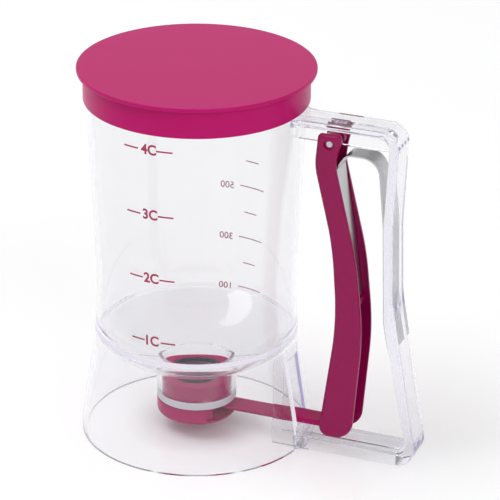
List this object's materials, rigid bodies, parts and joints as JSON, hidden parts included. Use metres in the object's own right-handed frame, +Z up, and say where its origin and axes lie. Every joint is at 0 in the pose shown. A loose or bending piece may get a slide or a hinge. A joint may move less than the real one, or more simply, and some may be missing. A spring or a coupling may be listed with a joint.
{
  "type": "batter dispenser",
  "caption": "Clear handled jug with a funnel floor, over-cap lid and a sprung trigger in the handle that slides a gate open under the outlet, with a twist-on valve cap.",
  "frame": {"origin": "on the jug's axis, in the plane that the skirt stands on", "axes": "+Z up along the jug's axis, +X towards the handle, +Y to the side"},
  "size_m": [0.1736, 0.1144, 0.19],
  "materials": {
    "clear_jug": "clear glossy moulded acrylic",
    "clear_handle": "clear glossy moulded acrylic",
    "magenta_lid": "satin magenta",
    "magenta_trigger": "satin magenta",
    "clear_pin": "pale translucent",
    "spring_steel": "rolled strip",
    "magenta_gate": "satin magenta",
    "magenta_valve": "satin magenta",
    "silicone": "translucent pale silicone"
  },
  "bodies": {
    "jug": {"jug_body": "clear_jug", "handle": "clear_handle", "pivot_pin": "clear_pin", "return_spring": "spring_steel", "valve_collar": "magenta_valve", "gate_seal": "silicone", "boss_gasket": "silicone"},
    "lid": {"lid": "magenta_lid"},
    "trigger": {"trigger": "magenta_trigger"},
    "gate": {"slide_gate": "magenta_gate"},
    "cap": {"valve_cap": "magenta_valve"}
  },
  "joints": [
    {"name": "trigger_pull", "type": "hinge", "parent": "jug", "child": "trigger", "pos_m": [0.0702, 0, 0.1635], "axis": [0, -1, 0], "range_deg": [0, 6.5], "stiffness_Nm_per_rad": 0.8, "springref_deg": -5.73, "deforming": ["return_spring"]},
    {"name": "gate_slide", "type": "slide", "parent": "jug", "child": "gate", "axis": [1, 0, 0], "range_m": [0, 0.0168]},
    {"name": "cap_twist", "type": "hinge", "parent": "jug", "child": "cap", "pos_m": [0, 0, 0.012], "axis": [0, 0, 1], "range_deg": [-36, 0]},
    {"name": "lid_lift", "type": "slide", "parent": "jug", "child": "lid", "axis": [0, 0, 1], "range_m": [0, 0.06]}
  ],
  "couplings": [
    {"joint": "gate_slide", "follows": "trigger_pull", "m_per_rad": 0.1467}
  ]
}
